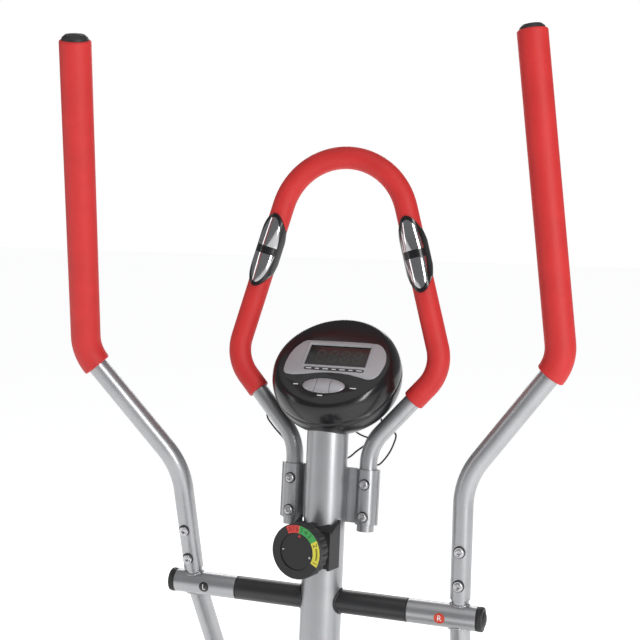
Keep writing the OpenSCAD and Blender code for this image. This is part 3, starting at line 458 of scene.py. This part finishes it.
# ---------- Weld beads ----------
# A run of rippled weld where each handle's stub and each lower arm meets its pivot sleeve, and where
# the black sleeves meet the post. Laid by hand, then painted over.
def weld_bead(name, points, size, body, place, material):
    line = bpy.data.curves.new(name, "CURVE")
    line.dimensions = "3D"
    line.bevel_depth = size
    line.bevel_resolution = 3
    spline = line.splines.new("BEZIER")
    spline.use_cyclic_u = True
    spline.resolution_u = 4
    spline.bezier_points.add(len(points) - 1)
    for i, (knot, point) in enumerate(zip(spline.bezier_points, points)):
        knot.co = point
        knot.radius = 1 if i % 2 else 0.78
        knot.handle_left_type = knot.handle_right_type = "AUTO"
    bead = bpy.data.objects.new(name, line)
    bpy.context.collection.objects.link(bead)
    only(bead)
    bpy.ops.object.convert(target="MESH")
    settle(bpy.context.object, name, material, body, place)


sleeve_radius, post_radius, post_lean = 0.017, 0.03, radians(6.4)
arm_ripples, post_ripples = 40, 44
clear, proud = 0.0006, 0.0004
for side in ["left", "right"]:
    for part, tube_radius, above in [("stub", 0.0125, 1), ("lower_arm", 0.0145, -1)]:
        loop = []
        for i in range(arm_ripples):
            angle = 2 * pi * i / arm_ripples
            y = tube_y + (tube_radius + clear) * sin(angle)
            drop = sqrt(max(sleeve_radius ** 2 - y * y, 0.005 ** 2))
            loop.append((arm_x + (tube_radius + clear) * cos(angle), y, above * (drop + proud)))
        weld_bead(f"{part}_weld_{side}", loop, 0.0019, side + "_arm", on_arm[side],
                  silver_paint)
both_sides = [("left", -1), ("right", 1)]
for side, sign in both_sides:
    ring = []
    for i in range(post_ripples):
        angle = 2 * pi * i / post_ripples
        y, z = (sleeve_radius + proud) * cos(angle), (sleeve_radius + proud) * sin(angle)
        forward = y + z * tan(post_lean)
        ring.append((sign * (sqrt(post_radius ** 2 - forward ** 2) + clear), y, z))
    weld_bead("post_weld_" + side, ring, 0.0018, "frame", at_axle, black_paint)

# ---------- Socket screws ----------
# Zinc-plated button-head screws with a hexagon socket: two hold each handle on its stub, and two
# clamp each end of the fixed handlebar.
def apply(obj, kind, **settings):
    only(obj)
    modifier = obj.modifiers.new(kind.lower(), kind)
    for key, value in settings.items():
        setattr(modifier, key, value)
    bpy.ops.object.modifier_apply(modifier=modifier.name)


def cylinder_along(radius, depth, place, sides=96):
    bpy.ops.mesh.primitive_cylinder_add(vertices=sides, radius=radius, depth=depth)
    tool = bpy.context.object
    tool.data.transform(place)
    return tool


def block(size, centre):
    bpy.ops.mesh.primitive_cube_add(size=1)
    tool = bpy.context.object
    tool.data.transform(Matrix.Translation(centre) @ Matrix.Diagonal((*size, 1)))
    return tool


def cut(obj, tool, operation="DIFFERENCE"):
    apply(obj, "BOOLEAN", object=tool, operation=operation, solver="EXACT")
    bpy.data.objects.remove(tool)


# A round shell made of rings: each is (radius, height), from the rim to the middle
def ringed(rings, sides=144):
    bpy.ops.mesh.primitive_circle_add(vertices=sides, radius=rings[0][0])
    shell = bpy.context.object
    shell.data.transform(Matrix.Translation((0, 0, rings[0][1])))
    only(shell)
    mode("EDIT")
    bpy.ops.mesh.select_all(action="SELECT")
    for (radius, height), (next_radius, next_height) in zip(rings, rings[1:]):
        bpy.ops.mesh.extrude_region_move(TRANSFORM_OT_translate={"value": (0, 0, next_height - height)})
        shrink = next_radius / radius
        bpy.ops.transform.resize(value=(shrink, shrink, 1), center_override=(0, 0, next_height))
    bpy.ops.mesh.edge_face_add()
    bpy.ops.mesh.select_all(action="SELECT")
    bpy.ops.mesh.normals_make_consistent(inside=False)
    mode("OBJECT")
    return shell


lying = Matrix.Rotation(pi / 2, 4, "X")


# Sizes are shares of the head's diameter
def socket_screw(name, head, place, body):
    rings = [(head / 2, 0), (head / 2, head * 0.10)]
    for lift in range(12, 72, 12):
        rings.append((head / 2 * cos(radians(lift)) ** 0.7, head * (0.10 + 0.30 * sin(radians(lift)))))
    screw = ringed(rings, 40)
    cut(screw, cylinder_along(head * 0.23, head * 0.6, Matrix.Translation((0, 0, head * 0.42)), 6))
    apply(screw, "BEVEL", width=head * 0.02, segments=2, limit_method="ANGLE", angle_limit=radians(50))
    settle(screw, name, zinc_steel, body, place @ lying)
    washer_rings = [(0.56, 0), (0.58, 0.02), (0.58, 0.08), (0.55, 0.11)]
    washer = ringed([(head * radius, head * height) for radius, height in washer_rings], 40)
    settle(washer, name + "_washer", dark_steel, body, place @ lying)


dark_steel, shader = new_material("dark_steel")
shader.inputs["Metallic"].default_value = 0.9
add_grain(dark_steel, shader, fine=0.0005, coarse=0.006, share=0.5, bump=0.00003,
          dark=(0.03, 0.03, 0.032), light=(0.07, 0.07, 0.075), rough=(0.35, 0.5))
handle_screw_heights, clamp_screw_heights = [0.046, 0.094], [0.122, 0.169]
handle_front, clamp_front = tube_y - 0.0143, -0.0155
for side, sign in both_sides:
    for i, height in enumerate(handle_screw_heights):
        spot = on_arm[side] @ Matrix.Translation((arm_x, handle_front, height))
        socket_screw(f"handle_screw_{side}_{i}", 0.0148, spot, side + "_arm")
    for i, height in enumerate(clamp_screw_heights):
        spot = on_bar @ Matrix.Translation((sign * bar_bend.x, clamp_front, height))
        socket_screw(f"clamp_screw_{side}_{i}", 0.0140, spot, "frame")

# ---------- Side letters ----------
# A round vinyl sticker on the front of each pivot sleeve: a white L on black at the left, and a white
# R on red at the right. Each is bent round the sleeve.
def vinyl(name, colour, rough=(0.3, 0.45)):
    material, shader = new_material(name)
    darker = tuple(channel * 0.88 for channel in colour)
    add_grain(material, shader, fine=0.0005, coarse=0.006, share=0.5, bump=0.00002,
              dark=darker, light=colour, rough=rough)
    shader.inputs["Coat Weight"].default_value = 0.3
    return material


vinyl_black = vinyl("vinyl_black", (0.015, 0.015, 0.016))
vinyl_white = vinyl("vinyl_white", (0.85, 0.85, 0.85))
vinyl_red = vinyl("vinyl_red", (0.62, 0.05, 0.02))


# Presses a flat mesh in the XZ plane onto the front of a round sleeve along X
def press_on(obj, height):
    only(obj)
    mode("EDIT")
    for i in range(-9, 10):
        bpy.ops.mesh.select_all(action="SELECT")
        bpy.ops.mesh.bisect(plane_co=(0, 0, i * 0.001), plane_no=(0, 0, 1))
    mode("OBJECT")
    for vertex in obj.data.vertices:
        angle = vertex.co.z / sleeve_radius
        out = sleeve_radius + height - vertex.co.y
        vertex.co.y, vertex.co.z = -out * cos(angle), out * sin(angle)


# One printed letter or figure, flat and centred, with its size and half its thickness in metres
def printed(body, size, half_thick, place):
    bpy.ops.object.text_add()
    text = bpy.context.object
    text.data.body = body
    text.data.size = size
    text.data.extrude = half_thick
    text.data.align_x, text.data.align_y = "CENTER", "CENTER"
    only(text)
    bpy.ops.object.convert(target="MESH")
    text = bpy.context.object
    text.data.transform(place)
    return text


sticker_x, sticker_radius = 0.180, 0.0077
for side, sign, letter, back_vinyl in [("left", -1, "L", vinyl_black), ("right", 1, "R", vinyl_red)]:
    level = at_axle @ Matrix.Translation((sign * sticker_x, 0, 0))
    disc = cylinder_along(sticker_radius, 0.0003, lying, 64)
    press_on(disc, 0.0002)
    settle(disc, "side_sticker_" + side, back_vinyl, side + "_arm", level)
    text = printed(letter, 0.0115, 0.00008, lying)
    press_on(text, 0.0005)
    settle(text, "side_letter_" + side, vinyl_white, side + "_arm", level)

# ---------- Pulse grips ----------
# A black moulded oval over the foam on each side of the loop, with two polished steel contact plates
# let into it. A bar of the moulding runs between the plates.
chrome_plate, shader = new_material("chrome_plate")
shader.inputs["Metallic"].default_value = 1
add_grain(chrome_plate, shader, fine=0.0008, coarse=0.02, share=0.3, bump=0.00001,
          dark=(0.46, 0.46, 0.47), light=(0.62, 0.62, 0.63), rough=(0.06, 0.14))
gloss_black, shader = new_material("gloss_black")
shader.inputs["Specular IOR Level"].default_value = 0.35
shader.inputs["Coat Weight"].default_value = 0.3
shader.inputs["Coat Roughness"].default_value = 0.12
add_grain(gloss_black, shader, fine=0.0012, coarse=0.05, share=0.3, bump=0.00002,
          dark=(0.006, 0.006, 0.007), light=(0.012, 0.012, 0.013), rough=(0.2, 0.3))

grip_foot = Vector((bar_knee.x, 0, bar_knee.y))
grip_way = Vector((-bar_knee.x, 0, loop_tip.y - bar_knee.y))
grip_at = grip_foot + grip_way * 0.29
housing_radius, housing_half = 0.0202, (0.0212, 0.056)
plate_radius, plate_half, plate_gap = 0.0207, (0.0158, 0.05), 0.0058
foam_radius, plate_bed = 0.0163, 0.0192


# A long bar along the grip, cut to an oval on its front half
def wrapped_oval(radius, half):
    bar = cylinder_along(radius, 0.13, lying)
    oval = Matrix.Translation((0, 0, 0.03)) @ Matrix.Diagonal((*half, 1, 1))
    cut(bar, cylinder_along(1, 0.06, oval), "INTERSECT")
    return bar


for side, mirrored in [("left", other_side), ("right", Matrix.Identity(4))]:
    on_grip = (mirrored @ on_bar @ Matrix.Translation(grip_at)
               @ Matrix.Rotation(atan2(grip_way.x, grip_way.z), 4, "Y") @ lying)
    housing = wrapped_oval(housing_radius, housing_half)
    cut(housing, cylinder_along(foam_radius, 0.2, lying))
    for end in [-1, 1]:
        plate = wrapped_oval(plate_radius, plate_half)
        cut(plate, block((0.06, 0.08, 0.06), (0, end * (plate_gap + 0.04), 0.03)), "INTERSECT")
        cut(plate, cylinder_along(plate_bed, 0.2, lying))
        apply(plate, "BEVEL", width=0.0006, segments=3, limit_method="ANGLE", angle_limit=radians(50))
        settle(plate, f"pulse_plate_{side}_{'upper' if end > 0 else 'lower'}", chrome_plate, "frame",
               on_grip)
        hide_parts("pulse_plates")
    apply(housing, "BEVEL", width=0.0018, segments=4, limit_method="ANGLE", angle_limit=radians(50))
    settle(housing, "pulse_housing_" + side, gloss_black, "frame", on_grip)
    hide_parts("pulse_housings")

# ---------- Console ----------
# A round gloss-black pod in two shells that meet at a fine seam. The front is a flat face with soft
# shoulders; the rear tapers down round the end of the post.
on_pod = Matrix.Translation((0.0015, 0.309, 1.1185)) @ Matrix.Rotation(radians(37), 4, "X")
pod_radius, face_radius, face_height, rear_depth = 0.096, 0.080, 0.033, 0.054
shell_wall, lip, seam = 0.0025, 0.0012, [(0.0008, 0), (0.0002, 0.0009)]
steps = [radians(90 * i / 16) for i in range(17)]
front_rings = [(pod_radius - inset, rise) for inset, rise in seam]
front_rings += [(face_radius + (pod_radius - face_radius) * cos(t) ** 0.85,
                 lip + (face_height - lip) * sin(t)) for t in steps]
rear_rings = [(pod_radius - inset, -rise) for inset, rise in seam]
rear_rings += [(pod_radius * cos(t) ** 0.44, -lip - (rear_depth - lip) * sin(t)) for t in steps[:-1]]
lcd_centre, lcd_size = Vector((0.005, 0.0085)), Vector((0.091, 0.039))
key_centre, key_size = Vector((-0.001, -0.050)), Vector((0.032, 0.0143))
key_gap = 0.0007
key_well = (Matrix.Translation((*key_centre, face_height))
            @ Matrix.Diagonal((key_size.x + key_gap, key_size.y + key_gap, 1, 1)))
front_shell = ringed(front_rings)
apply(front_shell, "SOLIDIFY", thickness=shell_wall, offset=-1)
cut(front_shell, block((lcd_size.x, lcd_size.y, 0.03), (*lcd_centre, face_height)))
cut(front_shell, cylinder_along(1, 0.03, key_well))
apply(front_shell, "BEVEL", width=0.0006, segments=3, limit_method="ANGLE", angle_limit=radians(60))
settle(front_shell, "console_front", gloss_black, "frame", on_pod)
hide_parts("console_front_shell")
rear_shell = ringed(rear_rings)
apply(rear_shell, "SOLIDIFY", thickness=shell_wall, offset=-1)
settle(rear_shell, "console_rear", gloss_black, "frame", on_pod)
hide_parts("console_rear_shell")

# ---------- Console trim plate ----------
# A satin silver plate round the display: straight along the top, bowed at the sides and waved below,
# with a raised frame round the display's window.
silver_plastic, shader = new_material("silver_plastic")
shader.inputs["Metallic"].default_value = 0.4
add_grain(silver_plastic, shader, fine=0.0005, coarse=0.04, share=0.8, bump=0.00003,
          dark=(0.40, 0.40, 0.42), light=(0.49, 0.49, 0.51), rough=(0.34, 0.46))
trim_lift, trim_half, trim_round = 0.0005, 0.0004, 0.0006
plate_top = face_height + trim_lift + trim_half + trim_round
# Points round its edge, in millimetres
trim_edge = [(-50, 35.7), (-42, 36.3), (54, 36.3), (61.5, 34.8), (72, 25), (78.5, 8), (78, -11),
             (71.5, -28.5), (62.5, -33.6), (49, -31.2), (30, -26.8), (8, -25), (-16, -26.6), (-38, -31),
             (-58, -32.6), (-66.5, -29.8), (-69.8, -18), (-69.5, -2), (-64.5, 18), (-57, 29.5)]
line = bpy.data.curves.new("trim_outline", "CURVE")
line.dimensions = "2D"
line.fill_mode = "BOTH"
line.extrude = trim_half
line.bevel_depth = trim_round
line.bevel_resolution = 3
line.offset = -trim_round
spline = line.splines.new("BEZIER")
spline.use_cyclic_u = True
spline.resolution_u = 8
spline.bezier_points.add(len(trim_edge) - 1)
for knot, (x, y) in zip(spline.bezier_points, trim_edge):
    knot.co = (x / 1000, y / 1000, 0)
    knot.handle_left_type = knot.handle_right_type = "AUTO"
trim = bpy.data.objects.new("trim", line)
bpy.context.collection.objects.link(trim)
only(trim)
bpy.ops.object.convert(target="MESH")
trim = bpy.context.object
trim.data.transform(Matrix.Translation((0, 0, face_height + trim_lift)))
cut(trim, block((lcd_size.x + 0.002, lcd_size.y + 0.002, 0.03), (*lcd_centre, face_height)))
settle(trim, "console_trim", silver_plastic, "frame", on_pod)
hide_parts("console_fascia")

# The frame's section, from the window outwards: (distance out, height over the face)
window_frame = [(0, -0.003), (0.0008, 0.0008), (0.0022, 0.0026), (0.0030, 0.0029), (0.0040, 0.0028),
                (0.0046, 0.0016), (0.0046, 0.0010), (0.0020, -0.003)]
bpy.ops.mesh.primitive_plane_add(size=1)
bezel = bpy.context.object
bezel.data.transform(Matrix.Translation((*lcd_centre, face_height + window_frame[0][1]))
                     @ Matrix.Diagonal((*lcd_size, 1, 1)))
only(bezel)
mode("EDIT")
bpy.ops.mesh.select_all(action="SELECT")
bpy.ops.mesh.delete(type="ONLY_FACE")
bpy.ops.mesh.select_all(action="SELECT")
for (grow, height), (next_grow, next_height) in zip(window_frame, window_frame[1:]):
    bpy.ops.mesh.extrude_region_move(TRANSFORM_OT_translate={"value": (0, 0, next_height - height)})
    bpy.ops.transform.resize(
        value=((lcd_size.x + 2 * next_grow) / (lcd_size.x + 2 * grow),
               (lcd_size.y + 2 * next_grow) / (lcd_size.y + 2 * grow), 1),
        center_override=(*lcd_centre, 0))
bpy.ops.mesh.select_all(action="DESELECT")
bpy.ops.mesh.select_non_manifold()
bpy.ops.mesh.bridge_edge_loops()
mode("OBJECT")
apply(bezel, "BEVEL", width=0.0003, segments=2, limit_method="ANGLE", angle_limit=radians(35))
settle(bezel, "display_frame", silver_plastic, "frame", on_pod)

# ---------- Display ----------
# A dark liquid-crystal window that is switched off: four digits of seven segments each show faintly.
# Under it is a black strip with a row of pale marks, one for each reading.
lcd_glass, shader = new_material("lcd_glass")
shader.inputs["Coat Weight"].default_value = 0.2
shader.inputs["Coat Roughness"].default_value = 0.05
add_grain(lcd_glass, shader, fine=0.0006, coarse=0.02, share=0.4, bump=0.00001,
          dark=(0.012, 0.013, 0.012), light=(0.02, 0.021, 0.019), rough=(0.12, 0.2))
paint(lcd_glass, "lcd_window")
lcd_segment = vinyl("lcd_segment", (0.036, 0.038, 0.034), (0.5, 0.6))
digit_width, digit_height, digit_pitch, stroke = 0.0105, 0.0225, 0.0185, 0.0038
segment_gap, segment_thick, segment_height = 0.0012, 0.0002, face_height - 0.0009
slant = Matrix.Identity(4)
slant[0][1] = 0.08


def joined(pieces):
    only(*pieces)
    bpy.ops.object.join()
    return bpy.context.object


segments = []
for digit in range(4):
    middle = Vector((lcd_centre.x + (digit - 1.5) * digit_pitch + 0.002, lcd_centre.y - 0.001))
    for across, upright, turned_up in [(0, 1, False), (0, 0, False), (0, -1, False), (-1, 0.5, True),
                                       (1, 0.5, True), (-1, -0.5, True), (1, -0.5, True)]:
        length = (digit_height / 2 if turned_up else digit_width) - stroke - segment_gap
        bar = block((length, stroke, segment_thick), (0, 0, 0))
        only(bar)
        mode("EDIT")
        bpy.ops.mesh.select_all(action="SELECT")
        bpy.ops.mesh.bisect(plane_co=(0, 0, 0), plane_no=(0, 1, 0))
        mode("OBJECT")
        for vertex in bar.data.vertices:
            if abs(vertex.co.y) < 1e-6:
                vertex.co.x *= 1 + stroke / length
        at = middle + Vector((across * digit_width / 2, upright * digit_height / 2))
        quarter = Matrix.Rotation(pi / 2 if turned_up else 0, 4, "Z")
        bar.data.transform(Matrix.Translation((*at, segment_height)) @ slant @ quarter)
        segments.append(bar)
settle(joined(segments), "display_digits", lcd_segment, "frame", on_pod)

strip_y, strip_size = -0.0195, Vector((0.091, 0.0056, 0.0006))
strip = block(strip_size, (0.0065, strip_y, plate_top))
# Its four upright edges are rounded
only(strip)
mode("EDIT")
bpy.ops.mesh.select_mode(type="EDGE")
bpy.ops.mesh.select_all(action="DESELECT")
mode("OBJECT")
for edge in strip.data.edges:
    foot, head = [strip.data.vertices[i].co.z for i in edge.vertices]
    edge.select = abs(foot - head) > strip_size.z / 2
mode("EDIT")
bpy.ops.mesh.bevel(offset=0.0027, segments=8, affect="EDGES")
mode("OBJECT")
settle(strip, "reading_strip", vinyl_black, "frame", on_pod)


# A small raised print mark, a rounded bar
def print_mark(length, height, place):
    mark = block((length, height, 0.0002), (0, 0, 0))
    apply(mark, "BEVEL", width=height * 0.3, segments=2, affect="EDGES")
    mark.data.transform(place)
    return mark


# Seven marks along the strip, and one beside each key
marks = []
for i in range(7):
    spot = Matrix.Translation((-0.032 + i * 0.0128, strip_y, plate_top + 0.0004))
    marks.append(print_mark(0.0062 if i % 2 else 0.0084, 0.0016, spot))
for length, x, y in [(0.0072, -0.0430, -0.0505), (0.0095, 0.0435, -0.0520), (0.0080, -0.0015, -0.0690)]:
    marks.append(print_mark(length, 0.0018, Matrix.Translation((x, y, face_height + 0.0001))))
settle(joined(marks), "print_marks", vinyl_white, "frame", on_pod)

# ---------- Keys ----------
# Three satin silver keys that make up one domed oval: two with rounded inner sides and one between.
key_foot, key_dome, key_depth = face_height - 0.001, 0.0052, 0.006
inner_side_radius, middle_reach, outer_reach = 0.060, 0.0700, 0.0708
for name, offset in [("key_left", -1), ("key_middle", 0), ("key_right", 1)]:
    bpy.ops.mesh.primitive_uv_sphere_add(segments=96, ring_count=32, radius=1)
    key = bpy.context.object
    key.data.transform(Matrix.Translation((*key_centre, key_foot))
                       @ Matrix.Diagonal((key_size.x, key_size.y, key_dome, 1)))
    only(key)
    mode("EDIT")
    bpy.ops.mesh.select_all(action="SELECT")
    bpy.ops.mesh.bisect(plane_co=(0, 0, key_foot), plane_no=(0, 0, 1), clear_inner=True)
    bpy.ops.mesh.select_all(action="DESELECT")
    bpy.ops.mesh.select_non_manifold()
    bpy.ops.mesh.extrude_region_move(TRANSFORM_OT_translate={"value": (0, 0, -key_depth)})
    bpy.ops.mesh.edge_face_add()
    mode("OBJECT")
    if offset == 0:
        sides_cut, reach, operation = [-1, 1], middle_reach, "DIFFERENCE"
    else:
        sides_cut, reach, operation = [offset], outer_reach, "INTERSECT"
    for way in sides_cut:
        middle = Matrix.Translation((key_centre.x + way * reach, key_centre.y, face_height))
        cut(key, cylinder_along(inner_side_radius, 0.04, middle), operation)
    apply(key, "BEVEL", width=0.0004, segments=3, limit_method="ANGLE", angle_limit=radians(50))
    settle(key, name + "_cap", silver_plastic, name, on_pod)
    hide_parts(name)

# ---------- Tension knob ----------
# A ribbed black knob with a printed ring: eight down to one over red, green and yellow. The pointer
# on the still disc in the middle is a small red triangle.
knob_height, knob_turn = 0.083, radians(9)
on_knob = (at_axle @ Matrix.Rotation(-post_lean, 4, "X") @ Matrix.Translation((0, 0, knob_height))
           @ Matrix.Rotation(-knob_turn, 4, "Z") @ lying)
knob_face, disc_face, ring_inner, ring_outer = 0.082, 0.0801, 0.0268, 0.0374


# A sector of the printed ring between two angles in degrees, clockwise from the top
def ring_sector(name, start, stop, inner, outer, material):
    bpy.ops.mesh.primitive_plane_add(size=1)
    sector = bpy.context.object
    only(sector)
    mode("EDIT")
    bpy.ops.mesh.select_all(action="SELECT")
    bpy.ops.mesh.delete(type="ONLY_FACE")
    mode("OBJECT")
    ends = [Vector((0, inner, 0)), Vector((0, outer, 0))]
    for vertex, at in zip(sector.data.vertices, [ends[0], ends[0], ends[1], ends[1]]):
        vertex.co = Matrix.Rotation(-radians(start), 3, "Z") @ at
    mode("EDIT")
    bpy.ops.mesh.select_all(action="SELECT")
    bpy.ops.mesh.remove_doubles(threshold=1e-5)
    bpy.ops.mesh.spin(steps=int((stop - start) / 2), angle=radians(stop - start),
                      center=(0, 0, 0), axis=(0, 0, 1))
    mode("OBJECT")
    apply(sector, "SOLIDIFY", thickness=0.0003, offset=0)
    sector.data.transform(Matrix.Translation((0, 0, knob_face + 0.0001)))
    settle(sector, name, material, "knob", on_knob)


vinyl_green = vinyl("vinyl_green", (0.035, 0.36, 0.07))
vinyl_yellow = vinyl("vinyl_yellow", (0.72, 0.66, 0.05))
vinyl_scarlet = vinyl("vinyl_scarlet", (0.68, 0.035, 0.025))
for name, start, stop, material, ink, numbers in [
        ("red", -27, 7, vinyl_scarlet, (0.25, 0.01, 0.01), [("8", -19), ("7", -9), ("6", 1)]),
        ("green", 7, 58, vinyl_green, (0.005, 0.07, 0.015), [("5", 14), ("4", 27), ("3", 40)]),
        ("yellow", 58, 118, vinyl_yellow, (0.1, 0.09, 0.01), [("2", 67), ("1", 111)])]:
    ring_sector("dial_" + name, start, stop, ring_inner, ring_outer, material)
    outwards = Matrix.Translation((0, (ring_inner + ring_outer) / 2, knob_face + 0.0003))
    figures = [printed(figure, 0.0095, 0.0001, Matrix.Rotation(-radians(angle), 4, "Z") @ outwards)
               for figure, angle in numbers]
    settle(joined(figures), "dial_figures_" + name, vinyl("ink_" + name, ink), "knob",
           on_knob)
ring_sector("dial_wedge", 74, 104, 0.0315, 0.0342, vinyl("ink_wedge", (0.3, 0.27, 0.03)))

# The pointer and the marks for more and less lie on the still disc
pointer_angle = radians(9)
pointer_place = Matrix.Rotation(-pointer_angle, 4, "Z") @ Matrix.Translation((0, 0.0222, disc_face))
pointer = cylinder_along(0.0027, 0.0003, pointer_place, 3)
settle(pointer, "dial_pointer", vinyl_scarlet, "frame", on_knob)
more, less = Matrix.Translation((0.0205, -0.006, disc_face)), Matrix.Translation((-0.0215, 0.001, disc_face))
signs = [print_mark(0.0030, 0.0009, place) for place in [more, more @ Matrix.Rotation(pi / 2, 4, "Z"), less]]
settle(joined(signs), "dial_plus_and_minus", vinyl_white, "frame", on_knob)
paint(gloss_black, "knob_pointer")
